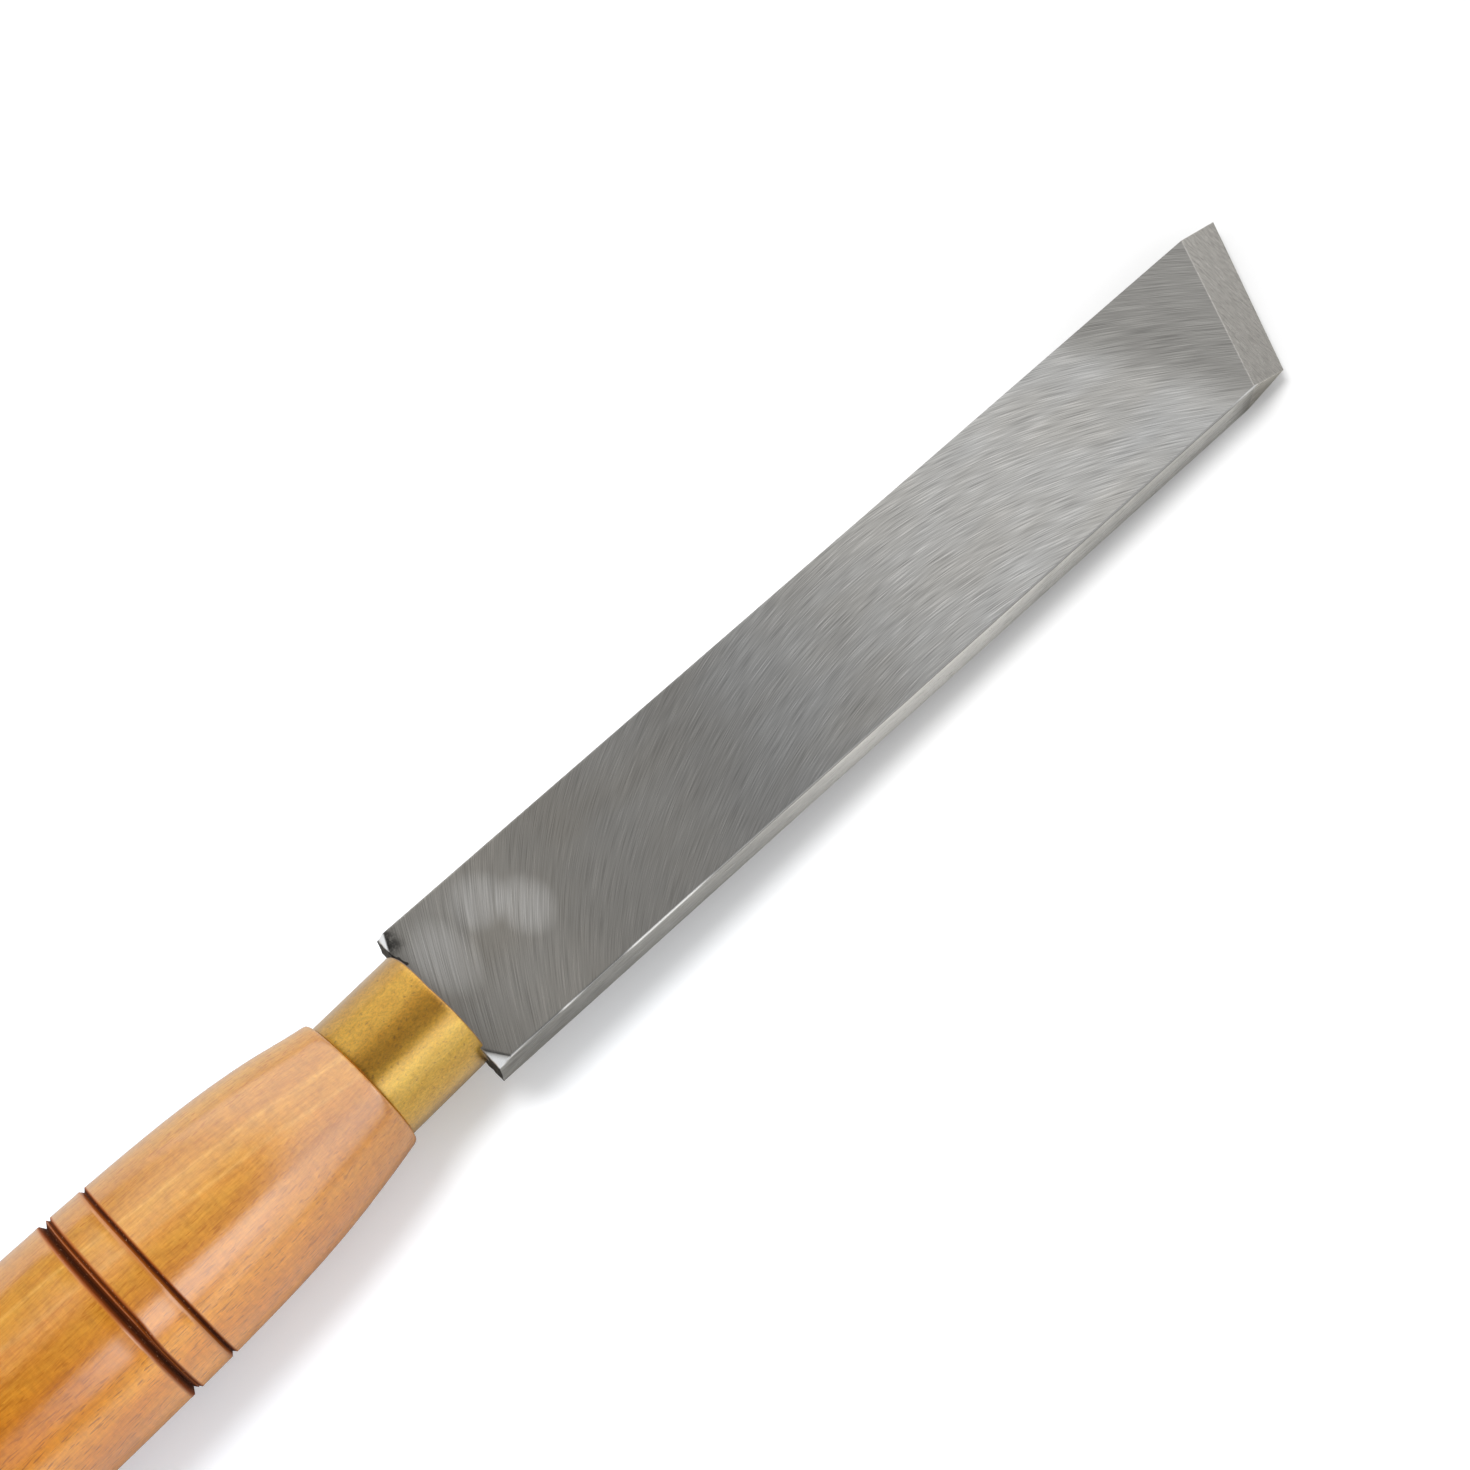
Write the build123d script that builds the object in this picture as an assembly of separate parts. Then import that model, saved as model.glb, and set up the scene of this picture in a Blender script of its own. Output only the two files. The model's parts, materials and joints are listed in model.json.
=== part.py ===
from build123d import *
import os
from math import asin, atan2, cos, degrees, radians, sin, tan

# A woodturner's skew chisel, in millimetres: a flat bar blade with its tang, a brass ferrule and a turned
# beech handle. Every piece is drawn along the X axis, with the blade's shoulder at X = 0, the cutting edge
# towards +X and the blade's flats parallel to XY. laid_down() then puts the finished tool on the bench.

# Blade: one-inch by quarter-inch bar, ground from both faces to an edge that runs aslant.
blade_width = 25.4
blade_thickness = 6.35
blade_reach = 170.1  # from the shoulder to the toe, the long point of the edge
skew_angle = 26.4  # between the edge and a square cut
bevel_width = 6.64  # across each bevel, square to the edge
arris_chamfer = 0.25  # eases the long edges, so that they slide along the tool rest
# The shoulder's two upper corners are dressed with a grinder: how far each slanted facet reaches along the
# blade, across it and down its end. The second one is on the side that the handle leans to.
shoulder_facets = [(1.3, 2.8, 1.0), (2.3, 3.4, 1.0)]

# Tang: forged in one piece with the blade, a four-sided taper that ends in a blunt point.
tang_length = 74.0
tang_root_width = 10.0
tang_step = 0.375  # the tang's root lies this far below each flat of the blade
tang_tip_size = 3.6
tang_point_length = 4.0
tang_point_size = 1.2
tang_root_fillet = 0.8

# Ferrule: a plain brass tube. It and the handle stand a little out of line with the blade, the ferrule more
# than the handle.
ferrule_radius = 9.75
ferrule_wall = 1.2
ferrule_length = 13.8
ferrule_edge_chamfer = 0.3
ferrule_angle = 2.8
set_angle = 1.55  # of the handle

# Handle: its outline goes from the neck, behind the ferrule, over the belly, the waist and the swell to the
# domed butt. Each flare station is a distance behind the neck and a rise above the neck's radius.
handle_length = 250.0
neck_step = 1.0  # the neck stands this far proud of the ferrule
neck_corner_radius = 0.5
neck_flare = 10.8  # degrees, the slope at which the wood leaves the neck
flare_stations = [(9.3, 1.75), (17.0, 2.8), (32.0, 3.75)]
belly_distance = 62.0
belly_rise = 4.25
waist_from_butt = 92.0
waist_radius = 12.4
swell_radius = 15.4
butt_length = 19.0  # from the fattest place of the swell to the end of the butt
seam_turn = 5.0  # degrees about the handle's own axis, from the drawing plane to the seam of the turned surface

# Fits between the pieces.
tenon_clearance = 0.03  # around the tenon, inside the ferrule
tenon_recess = 0.4  # the tenon's end grain lies this far inside the ferrule's front edge
tang_clearance = 0.05  # on each side of the tang, in its burnt-in hole
tang_hole_extra = 3.0  # depth left beyond the tang's point

# Burned rings: the distance of each V behind the neck, its width at the surface and its depth. The rear ring
# was cut twice, so a narrower V lies against its front.
rings = [(35.5, 1.0, 0.55), (41.95, 1.4, 1.0), (41.0, 0.7, 0.45)]

# The ferrule's front edge is not parallel to the shoulder, so it is held back until one side of it just meets
# the shoulder. The neck is where the handle's axis meets the ferrule's seat.
leaning_reach = ferrule_length * cos(radians(ferrule_angle)) + ferrule_radius * sin(radians(ferrule_angle))
neck = -leaning_reach / cos(radians(set_angle))
butt = neck - handle_length
tenon_radius = ferrule_radius - ferrule_wall - tenon_clearance
neck_radius = ferrule_radius + neck_step
belly_radius = neck_radius + belly_rise
bevel_reach = bevel_width / cos(radians(skew_angle))  # length of each bevel, measured along the blade
edge_drop = blade_width * tan(radians(skew_angle))  # the heel lies this far behind the toe


def blade_bar():
    """The bar: its plan outline with the slanted end, thickened, with eased long edges."""
    half = blade_width / 2
    corners = [(0, -half), (blade_reach - edge_drop, -half), (blade_reach, half), (0, half)]
    plan = make_face(Polyline(*corners, close=True))
    bar = extrude(Pos(0, 0, -blade_thickness / 2) * plan, blade_thickness)
    bar = chamfer(bar.edges().filter_by(Axis.X), arris_chamfer)
    for side, facet in zip((1, -1), shoulder_facets):
        bar = split(bar, facet_plane(side, *facet), keep=Keep.BOTTOM)
    return bar


def facet_plane(side, along, across, down):
    """The plane of one dressed corner, facing out of the steel, through its three corners."""
    corner = Vector(0, side * blade_width / 2, blade_thickness / 2)
    on_side = corner + Vector(along, 0, 0)
    on_end = corner - Vector(0, side * across, 0)
    below = corner - Vector(0, 0, down)
    outward = (below - on_side).cross(on_end - on_side) * side
    return Plane(origin=on_side, x_dir=on_end - on_side, z_dir=outward)


def edge_wedge():
    """A wedge whose thin side is the cutting edge: what it shares with the bar is the bar with both bevels."""
    along_edge = Vector(sin(radians(skew_angle)), cos(radians(skew_angle)), 0)
    into_blade = Vector(-cos(radians(skew_angle)), sin(radians(skew_angle)), 0)
    toe = Vector(blade_reach, blade_width / 2, 0)
    depth = 2 * blade_reach
    across = Plane(origin=toe - along_edge * depth, x_dir=into_blade, z_dir=along_edge)
    half_height = blade_thickness / 2 / bevel_width * depth
    triangle = make_face(Polyline((0, 0), (depth, half_height), (depth, -half_height), close=True))
    return extrude(across * triangle, 2 * depth)


def tang_blank(growth, extra_length):
    """The tang's taper and point, pointing along -X. growth is added all round and extra_length at the end,
    which turns the tang into the hole that it fits."""

    def section(x, width, thickness):
        return Plane.YZ.offset(x) * Rectangle(width + 2 * growth, thickness + 2 * growth)

    taper_end = tang_point_length - tang_length - extra_length
    root = section(0, tang_root_width, blade_thickness - 2 * tang_step)
    end = section(taper_end, tang_tip_size, tang_tip_size)
    point = section(taper_end - tang_point_length, tang_point_size, tang_point_size)
    return loft([root, end]) + loft([end, point])


def make_blade():
    """Blade and tang in one piece of steel, with a fillet where each side of the tang leaves the shoulder."""
    steel = (blade_bar() & edge_wedge()) + tang_blank(0, 0)
    upright = steel.edges().filter_by(Axis.Z)
    root_edges = upright.filter_by(lambda edge: edge.center().length < 0.51 * tang_root_width)
    return fillet(root_edges, tang_root_fillet)


def make_ferrule():
    """A tube around X, with both outer edges eased."""
    face = Plane.YZ.offset(neck)
    tube = extrude(face * Circle(ferrule_radius), ferrule_length)
    tube = chamfer(tube.edges().filter_by(GeomType.CIRCLE), ferrule_edge_chamfer)
    tube -= extrude(face * Circle(ferrule_radius - ferrule_wall), ferrule_length)
    return in_ferrule_line(tube)


def ogee(start, end):
    """Two arcs of one radius that meet halfway and run level at both ends, as a turner sweeps from a high place
    of the handle to a low one."""
    start, end = Vector(start), Vector(end)
    middle = (start + end) / 2
    first = TangentArc(start, middle, tangent=(-1, 0))
    return [first, TangentArc(middle, end, tangent=first % 1)]


def wood_outline():
    """The outer curve of the wood, from a little ahead of the neck to the end of the butt."""
    slope = tan(radians(neck_flare))
    front = Line((neck + 1, neck_radius - slope), (neck, neck_radius))
    belly = (neck - belly_distance, belly_radius)
    waist = (butt + waist_from_butt, waist_radius)
    swell = (butt + butt_length, swell_radius)
    flare_points = [(neck - distance, neck_radius + rise) for distance, rise in flare_stations]
    rising = Spline(front @ 1, *flare_points, belly, tangents=[front % 1, (-1, 0)])
    dome = EllipticalCenterArc((butt + butt_length, 0), butt_length, swell_radius, 90, arc_size=90)
    return Curve() + [front, rising, *ogee(belly, waist), *ogee(waist, swell), dome]


def ring_cut(distance, width, depth, outline_radius):
    """One burned V ring, revolved around the handle."""
    x = neck - distance
    proud = depth  # the V goes on at the same slope beyond the surface
    reach = width / 2 * (depth + proud) / depth
    points = [(x, outline_radius - depth), (x - reach, outline_radius + proud), (x + reach, outline_radius + proud)]
    return revolve(make_face(Polyline(*points, close=True)), Axis.X)


def radius_at(outline, x):
    """The outline's radius at x."""
    upright = Line((x, 0), (x, 2 * max(belly_radius, swell_radius)))
    return (outline & upright).vertices()[0].Y


def make_handle():
    """The turned wood with its rings, cut square to the ferrule at the neck, with the tenon that fills the
    ferrule and the tang's hole burnt into both."""
    outline = wood_outline()
    front = outline @ 0
    wood = revolve(make_face(outline + Polyline((butt, 0), (front.X, 0), (front.X, front.Y))), Axis.X)
    for distance, width, depth in rings:
        wood -= ring_cut(distance, width, depth, radius_at(outline, neck - distance))
    wood = turned_to_set(Rot(seam_turn, 0, 0) * wood)
    seat = Plane.YZ.offset(neck)
    wood -= in_ferrule_line(extrude(seat * Circle(2 * neck_radius), ferrule_length))
    neck_face = wood.faces().sort_by(Axis.X)[-1]
    wood = fillet(neck_face.edges(), neck_corner_radius)
    wood += in_ferrule_line(extrude(seat * Circle(tenon_radius), ferrule_length - tenon_recess))
    wood -= tang_blank(tang_clearance, tang_hole_extra)
    return wood


def turned_to_set(piece):
    """Swings the handle out of line with the blade, by the set angle."""
    return Rot(0, 0, set_angle) * piece


def in_ferrule_line(piece):
    """Swings the ferrule, or what fits it, about the neck: on the handle's axis, but at its own angle."""
    return turned_to_set(Pos(neck, 0, 0) * Rot(0, 0, ferrule_angle - set_angle) * Pos(-neck, 0, 0)) * piece


def bench_angles():
    """Lean and roll of the tool as it rests. A straight bench touches the middle of the lower bevel's top line
    and the handle's outline, so the lean is the steepest angle from the one to any point of the other; the
    roll then brings both ends of that slanted line down to the bench."""
    nose = blade_reach - bevel_reach - edge_drop / 2
    outline = wood_outline()
    steps = 400
    points = [outline @ (i / steps) for i in range(steps + 1)]
    lean = max(atan2(point.Y - blade_thickness / 2, nose - point.X) for point in points)
    roll = asin(tan(radians(skew_angle)) * tan(lean))
    return degrees(lean), degrees(roll)


def laid_down(pieces):
    """The tool on the bench: leaned and rolled to rest, its lowest points at Z = 0 and the middle of its
    length and width over the origin."""
    lean, roll = bench_angles()
    resting = {name: Rot(0, lean, 0) * Rot(roll, 0, 0) * piece for name, piece in pieces.items()}
    box = Compound(list(resting.values())).bounding_box()
    middle = box.center()
    drop = Pos(-middle.X, -middle.Y, -box.min.Z)
    return {name: drop * piece for name, piece in resting.items()}


chisel = laid_down({"blade": make_blade(), "ferrule": make_ferrule(), "handle": make_handle()})
os.makedirs("parts", exist_ok=True)
for name, piece in chisel.items():
    export_step(piece, f"parts/{name}.step")
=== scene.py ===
"""A woodturner's skew chisel: ground steel blade, brass ferrule and turned beech handle on a pale table.

Sizes are in millimetres in the tool's own frame: X runs along the blade from the shoulder to the toe, Y
across it and Z out of its upper flat. The record's tool_rest_face mount tells where that frame lies on the
table.
"""
import json
from math import asin, atan2, cos, pi, radians, sin, tan

import bpy
import numpy as np
from mathutils import Euler, Matrix, Vector


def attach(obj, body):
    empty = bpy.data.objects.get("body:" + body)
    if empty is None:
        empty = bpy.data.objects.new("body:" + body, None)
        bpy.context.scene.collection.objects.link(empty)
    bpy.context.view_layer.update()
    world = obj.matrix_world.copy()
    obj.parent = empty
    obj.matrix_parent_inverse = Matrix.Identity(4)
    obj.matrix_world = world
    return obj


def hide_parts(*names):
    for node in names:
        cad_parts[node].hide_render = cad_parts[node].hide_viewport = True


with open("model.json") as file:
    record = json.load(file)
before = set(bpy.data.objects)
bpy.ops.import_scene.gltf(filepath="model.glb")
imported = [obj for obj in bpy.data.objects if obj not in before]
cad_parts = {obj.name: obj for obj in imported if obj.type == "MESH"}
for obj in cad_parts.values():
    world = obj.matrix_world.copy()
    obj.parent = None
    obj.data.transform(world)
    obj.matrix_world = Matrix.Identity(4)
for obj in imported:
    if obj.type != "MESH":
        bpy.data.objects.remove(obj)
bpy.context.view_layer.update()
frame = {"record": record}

# The blade, with the sizes of the solid that it stands for, apart from the bevels' top line. How far that
# lies from the edge is a share of the bevel's reach along the blade: TOP_LINE halfway across, TOP_LINE_LEAN
# more at the toe and as much less at the heel.
BLADE_WIDTH, BLADE_THICKNESS, BLADE_REACH = 25.4, 6.35, 170.1
HALF_WIDTH, HALF_THICKNESS, ARRIS = BLADE_WIDTH / 2, BLADE_THICKNESS / 2, 0.25
SKEW = radians(26.4)
BEVEL_REACH = 6.64 / cos(SKEW)
TOP_LINE, TOP_LINE_LEAN = 1.03, 0.05
TANG_LENGTH, TANG_WIDTH, TANG_THICKNESS, TANG_TIP = 74.0, 10.0, 5.6, 3.6
TANG_POINT_LENGTH, TANG_POINT, TANG_EASE, ROOT_FILLET = 4.0, 1.2, 0.4, 0.8
SHOULDER_FACETS = ((1.3, 2.8, 1.0), (2.3, 3.4, 1.0))

# The ferrule and the handle.
FERRULE_RADIUS, FERRULE_WALL, FERRULE_LENGTH, FERRULE_EDGE = 9.75, 1.2, 13.8, 0.3
FERRULE_ANGLE, SET_ANGLE = radians(2.8), radians(1.55)
NECK = -(FERRULE_LENGTH * cos(FERRULE_ANGLE) + FERRULE_RADIUS * sin(FERRULE_ANGLE)) / cos(SET_ANGLE)
HANDLE_LENGTH, BELLY_DISTANCE, WAIST_FROM_BUTT, BUTT_LENGTH = 250.0, 62.0, 92.0, 19.0
BUTT = NECK - HANDLE_LENGTH
NECK_RADIUS, BELLY_RADIUS, WAIST_RADIUS, SWELL_RADIUS = 10.75, 15.0, 12.4, 15.4
NECK_FLARE = 10.8  # degrees, the slope at which the wood leaves the neck
TENON_CLEARANCE, TENON_RECESS, TANG_CLEARANCE, HOLE_EXTRA = 0.03, 0.4, 0.05, 3.0
NARROW_RING, SECOND_CUT, WIDE_RING = 35.5, 41.0, 41.95  # behind the neck


# ---- the tool's frame on the table

def tool_on_table():
    """Turn and place of the tool's frame. The mount's axis is the tool's -Z, which a roll about X and
    then a lean about Y bring to where it points; the mount lies 80 mm along the lower flat."""
    mount = next(m for m in frame["record"]["mounts"] if m["name"] == "tool_rest_face")
    up = -Vector(mount["axis"])
    turn = Euler((-asin(up.y), atan2(up.x, up.z), 0)).to_matrix()
    place = Vector(mount["pos_m"]) - turn @ Vector((0.080, 0, -BLADE_THICKNESS / 2000))
    return turn, place


TURN, PLACE = tool_on_table()
HANDLE_TURN = TURN @ Matrix.Rotation(SET_ANGLE, 3, "Z")


def on_table(points, turn=TURN):
    """Points in millimetres of the tool's frame, or of the handle's, as metres on the table."""
    return np.asarray(points) / 1000 @ np.array(turn).T + np.array(PLACE)


def in_ferrule_line(points):
    """Swings points of the handle's frame about the neck, by what the ferrule stands further out of
    line."""
    swing = FERRULE_ANGLE - SET_ANGLE
    x, y, z = np.moveaxis(np.asarray(points, dtype=float), -1, 0)
    x = x - NECK
    return np.stack([NECK + x * cos(swing) - y * sin(swing), x * sin(swing) + y * cos(swing), z], -1)


# ---- surfaces

def smooth_step(low, high, x):
    """0 below low, 1 above high, and the cubic 3t^2 - 2t^3 between them."""
    t = np.clip((x - low) / (high - low), 0, 1)
    return t * t * (3 - 2 * t)


def ripple(points, wavelength, seed):
    """A soft irregular height, mostly between -1 and 1: a third of the sum of six plane sine waves of
    nearly one wavelength, with directions and phases drawn from the seed."""
    rng = np.random.default_rng(seed)
    total = 0
    for _ in range(6):
        direction = rng.normal(size=3)
        direction /= np.linalg.norm(direction)
        wave = 2 * pi / (wavelength * rng.uniform(0.7, 1.4))
        total = total + np.sin(wave * (points @ direction) + rng.uniform(0, 2 * pi))
    return total / 3


def make_piece(name, points, quads, triangles, attributes, material):
    """A mesh object from points in metres, with its faces outward and smooth, and one value per point for
    each named attribute."""
    faces = [list(f) for f in quads] + [list(f) for f in triangles]
    a, b, c = (points[np.array([f[i] for f in faces])] for i in range(3))
    if np.sum(np.cross(a, b) * c) < 0:
        faces = [f[::-1] for f in faces]
    mesh = bpy.data.meshes.new(name)
    mesh.from_pydata(points.tolist(), [], faces)
    mesh.shade_smooth()
    for key, values in attributes.items():
        layer = mesh.attributes.new(key, "FLOAT", "POINT")
        layer.data.foreach_set("value", np.asarray(values, dtype=float))
    mesh.materials.append(material)
    piece = bpy.data.objects.new(name, mesh)
    bpy.context.scene.collection.objects.link(piece)
    return piece


def loop_faces(loops, around, closed_along=False):
    """Quads between each loop of points and the next, as rows of point numbers."""
    last = loops if closed_along else loops - 1
    row, column = np.meshgrid(np.arange(last), np.arange(around), indexing="ij")
    here, below, next_column = row * around, (row + 1) % loops * around, (column + 1) % around
    quads = [here + column, here + next_column, below + next_column, below + column]
    return np.stack(quads, -1).reshape(-1, 4)


def capped_skin(name, loops, start, end, attributes, material):
    """A closed skin: the loops joined in order, with a fan of triangles to one point before the first
    loop and to one point after the last."""
    count, around = loops.shape[:2]
    points = np.concatenate([loops.reshape(-1, 3), [start, end]])
    ring = np.arange(around)
    first = np.stack([np.full(around, count * around), (ring + 1) % around, ring], -1)
    tail = (count - 1) * around
    final = np.stack([np.full(around, count * around + 1), tail + ring, tail + (ring + 1) % around], -1)
    fans = np.concatenate([first, final])
    values = {key: np.append(v, [v[0].mean(), v[-1].mean()]) for key, v in attributes.items()}
    return make_piece(name, points, loop_faces(count, around), fans, values, material)


# ---- the blade

def section_walk():
    """A walk once round the blade's section: for each point, its place in the inner rectangle, from -1 to
    1 across and up, and the outward direction there. Points lie closer together towards the corners."""
    across = np.linspace(-1, 1, 61)
    across = 0.35 * across + 0.65 * np.sin(pi / 2 * across)
    up = np.linspace(-1, 1, 9)
    turn = np.linspace(0, pi / 2, 5)[1:-1]
    flat_y, flat_z, arc_y, arc_z = [], [], [], []

    def straight(ys, zs, normal_y, normal_z):
        flat_y.extend(ys), flat_z.extend(zs)
        arc_y.extend([normal_y] * len(ys)), arc_z.extend([normal_z] * len(ys))

    def corner(y, z, start):
        for angle in turn:
            flat_y.append(y), flat_z.append(z)
            arc_y.append(cos(start - angle)), arc_z.append(sin(start - angle))

    straight(across, np.ones(61), 0, 1)
    corner(1, 1, pi / 2)
    straight(np.ones(9), -up, 1, 0)
    corner(1, -1, 0)
    straight(-across, -np.ones(61), 0, -1)
    corner(-1, -1, -pi / 2)
    straight(-np.ones(9), up, -1, 0)
    corner(-1, 1, -pi)
    return [np.array(v, dtype=float) for v in (flat_y, flat_z, arc_y, arc_z)]


def section_loop(half_width, half_thickness, ease, walk):
    """A rectangle with its corners eased by a radius: the walk's place in the inner rectangle, plus the
    radius along the walk's outward direction. The sizes may be columns, one row for each loop."""
    flat_y, flat_z, arc_y, arc_z = walk
    y = flat_y * (half_width - ease) + ease * arc_y
    z = flat_z * (half_thickness - ease) + ease * arc_z
    return y, z


def edge_x(y):
    """How far along the blade its edge lies at y."""
    return BLADE_REACH - (HALF_WIDTH - y) * tan(SKEW)


def top_line(y):
    """How far behind the edge the bevel's top line lies at y, as a share of the bevel's reach."""
    return TOP_LINE + TOP_LINE_LEAN * y / HALF_WIDTH


def bevel_loops(to_edge, walk):
    """Loops at the given shares of the way from the edge to the bevel's top line. The half thickness
    falls in step with them."""
    fall = np.clip(to_edge, 0, 1)[:, None]
    y, z = section_loop(HALF_WIDTH, HALF_THICKNESS * fall, ARRIS * fall, walk)
    x = edge_x(y) - top_line(y) * BEVEL_REACH * to_edge[:, None]
    return np.stack([x, y, z], -1)


def bar_loops(walk):
    """Loops from just behind the bevel back to the shoulder. The x of each is a share of the first one's,
    point by point, so they turn from the skew to square. They lie close together at the shoulder."""
    share = np.concatenate([np.linspace(0, 5, 34)[:-1], np.linspace(5, 150, 100)]) / 150
    y, z = section_loop(HALF_WIDTH, HALF_THICKNESS, ARRIS, walk)
    just_behind = 1.05  # the first loop's distance from the edge, as a share of the top line's
    x = share[:, None] * (edge_x(y) - just_behind * top_line(y) * BEVEL_REACH)
    return np.stack(np.broadcast_arrays(x, y, z), -1)[::-1]


def end_face_loops(walk):
    """Loops that shrink over the shoulder's end face to the tang's root, and turn there into the fillet,
    a quarter of an ellipse: x falls by the fillet times 1 - sqrt(1 - t^2)."""
    shrink = np.linspace(0, 1, 14)[1:, None]
    wide_y, wide_z = section_loop(HALF_WIDTH, HALF_THICKNESS, ARRIS, walk)
    root_y, root_z = section_loop(TANG_WIDTH / 2, TANG_THICKNESS / 2, TANG_EASE, walk)
    y, z = wide_y + (root_y - wide_y) * shrink, wide_z + (root_z - wide_z) * shrink
    fillet_from = 0.85  # the share of the way to the root at which the fillet begins
    bend = np.clip((shrink - fillet_from) / (1 - fillet_from), 0, 1)
    x = -ROOT_FILLET * (1 - np.sqrt(1 - bend**2))
    return np.stack(np.broadcast_arrays(x, y, z), -1)


def tang_loops(walk):
    """Loops along the tang's straight taper, and a last small one at its blunt point."""
    run = np.linspace(0, 1, 30)[1:, None]
    y, z = section_loop(TANG_WIDTH / 2 + (TANG_TIP - TANG_WIDTH) / 2 * run,
                        TANG_THICKNESS / 2 + (TANG_TIP - TANG_THICKNESS) / 2 * run, TANG_EASE, walk)
    x = -ROOT_FILLET - (TANG_LENGTH - ROOT_FILLET - TANG_POINT_LENGTH) * run
    taper = np.stack(np.broadcast_arrays(x, y, z), -1)
    y, z = section_loop(TANG_POINT / 2, TANG_POINT / 2, 0.2, walk)
    point = np.stack([np.full_like(y, -TANG_LENGTH), y, z], -1)
    return np.concatenate([taper, point[None]])


def blade_mesh(material):
    """The ground bar with its tang as one closed skin, from the edge to the tang's point."""
    walk = section_walk()
    edge_land = 0.006  # the first loop's share of the way back from the edge
    to_edge = np.concatenate([[edge_land, 0.04], np.linspace(0.1, 0.9, 9), [0.97, 1.0, 1.03]])
    loops = [bevel_loops(to_edge, walk), bar_loops(walk), end_face_loops(walk), tang_loops(walk)]
    loops, scale, ground, facet_shade = dress_shoulder(np.concatenate(loops))
    start = np.array([edge_x(0) - edge_land * BEVEL_REACH, 0, 0])
    end = np.array([-TANG_LENGTH, 0, 0])
    return capped_skin("blade_steel", on_table(loops), on_table(start), on_table(end),
                       {"scale": scale, "ground": ground, "facet_shade": facet_shade}, material)


def facet_planes():
    """The dressed upper corners of the shoulder, each as its outward direction and a point on it: the
    cross product of two sides of the triangle that the facet cuts from the bar's corner."""
    for side, (along, across, down) in zip((1, -1), SHOULDER_FACETS):
        corner = np.array([0, side * HALF_WIDTH, HALF_THICKNESS])
        on_side = corner + (along, 0, 0)
        to_end, to_below = np.array([-along, -side * across, 0]), np.array([-along, 0, -down])
        outward = np.cross(to_below, to_end) * side
        yield outward / np.linalg.norm(outward), on_side


def grind_corners(loops):
    """Moves the points beyond each facet's plane back onto it: by (h + sqrt(h^2 + s^2)) / 2 for the
    height h, which rounds the facet's rim by about s. Returns the loops and how far each point is freshly
    ground, which goes from 0 to 1 between two heights."""
    on_bar = loops[..., 0] > -0.5
    ground = np.zeros(loops.shape[:2])
    soft_rims, ground_heights = (0.1, 0.03), ((-0.04, 0.14), (-0.12, 0.5))
    for (outward, through), soft, (low, high) in zip(facet_planes(), soft_rims, ground_heights):
        height = (loops - through) @ outward
        beyond = (height + np.sqrt(height**2 + soft**2)) / 2
        beyond = beyond * smooth_step(-3 * soft, -soft, height) * on_bar
        loops = loops - beyond[..., None] * outward
        ground = np.maximum(ground, smooth_step(low, high, height) * on_bar)
    return loops, ground


def dress_shoulder(loops):
    """Grinds the two upper corners of the shoulder and roughens its end face. Returns also how far each
    point is forge scale, which notches the upper flat by the far corner and leaves a bare stretch by the
    near one, how far it is freshly ground, and how far it is in the painted shade beside the far facet."""
    x, y, z = np.moveaxis(loops, -1, 0)
    loops, ground = grind_corners(loops)
    near_end = smooth_step(0.25, -0.05, x)
    rough = 0.06 * ripple(loops, 1.1, 3) + 0.04 * ripple(loops, 0.4, 4)
    loops = loops + (near_end * (1 - ground) * rough)[..., None] * np.array([1.0, 0, 0])
    notch = 0.7 * smooth_step(6.7, 7.0, y) * smooth_step(9.6, 7.3, y) + 0.03
    notch = notch * (1 + 0.25 * ripple(loops, 1.3, 5))
    scale = smooth_step(0.12, -0.1, x - notch * (z > 3)) * (1 - ground)
    bare = smooth_step(-10.3, -9.7, y) * smooth_step(-3, -5, y) * (z > 0)
    scale = scale * (1 - bare)
    # Painted shade: a dark patch on the upper flat beside the far facet.
    facet_shade = smooth_step(3.2, 1.2, x) * smooth_step(8.4, 10.2, y) * (z > 2)
    return loops, scale, ground, facet_shade


# ---- the ferrule

def ferrule_mesh(material):
    """A tube: its wall's outline, with its edges rounded, carried round its own axis. Its front end lies
    along the shoulder, so it is a little aslant: forward by 0.35 (1 - cos a) at the angle a from +Y, and
    by another 0.45 sin 2a between +Y and the top."""
    radius, inner, edge = FERRULE_RADIUS, FERRULE_RADIUS - FERRULE_WALL, FERRULE_EDGE
    front = NECK + FERRULE_LENGTH
    around, outer_count, bore_count, lip = 200, 22, 8, 0.1
    turn = np.linspace(0, pi / 2, 6)
    outer = np.linspace(NECK + edge, front - edge, outer_count + 2)[1:-1]
    bore = np.linspace(front - lip, NECK + lip, bore_count)
    x = np.concatenate([NECK + edge - edge * np.cos(turn), outer, front - edge + edge * np.sin(turn),
                        [front], bore, [NECK]])
    r = np.concatenate([radius - edge + edge * np.sin(turn), np.full(outer_count, radius),
                        radius - edge + edge * np.cos(turn), [inner + lip], np.full(bore_count, inner),
                        [inner + lip]])
    angle = np.linspace(0, 2 * pi, around, endpoint=False)
    filed = 0.35 * (1 - np.cos(angle)) + 0.45 * np.clip(np.sin(2 * angle), 0, None) * (angle < pi / 2)
    x, r = x[:, None], r[:, None]
    filed = filed * smooth_step(front - 3, front, x)
    rings = np.stack([x + filed, r * np.cos(angle), r * np.sin(angle)], -1)
    points = on_table(in_ferrule_line(rings), HANDLE_TURN).reshape(-1, 3)
    rim = np.repeat(smooth_step(front - 0.28, front - 0.05, x), around)
    return make_piece("ferrule_brass", points, loop_faces(len(x), around, True), [], {"rim": rim}, material)


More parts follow.
